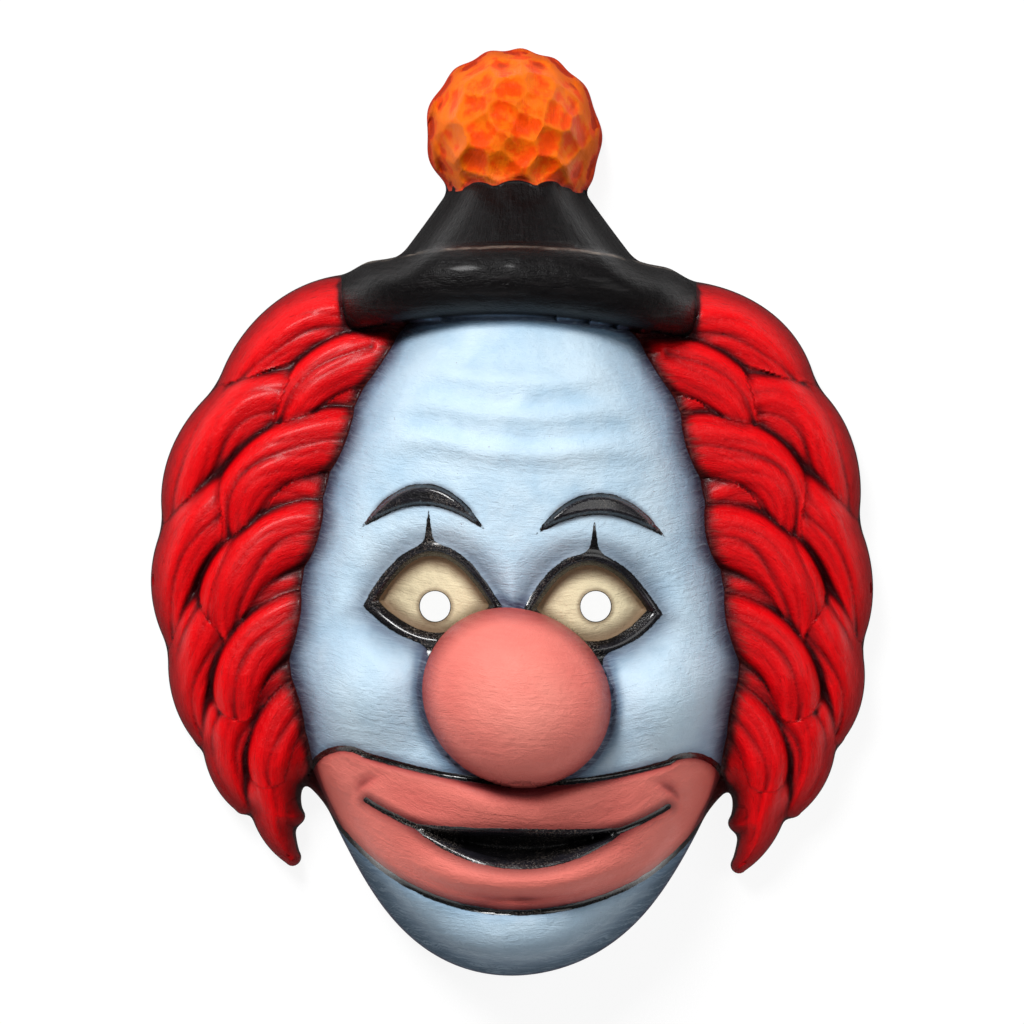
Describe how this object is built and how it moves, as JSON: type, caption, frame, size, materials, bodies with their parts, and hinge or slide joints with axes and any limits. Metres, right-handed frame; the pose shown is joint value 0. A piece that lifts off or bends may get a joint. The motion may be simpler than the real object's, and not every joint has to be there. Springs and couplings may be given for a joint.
{
  "type": "clown mask",
  "caption": "Moulded clown face mask with ball nose, open mouth, curled side hair and a small cone hat with a pompom.",
  "frame": {"origin": "centre of the bounding box, in the plane of the flat rim that the mask lies on", "axes": "+Z is the way the face looks, +Y runs from the chin to the hat, +X is to the right in a view from the front"},
  "size_m": [0.2906, 0.3734, 0.1159],
  "materials": {
    "painted_shell": "hand-painted satin plastic: pale blue face, red hair, black hat, orange pompom, pink nose and mouth"
  },
  "bodies": {
    "root": {"mask_shell": "painted_shell"}
  },
  "joints": []
}
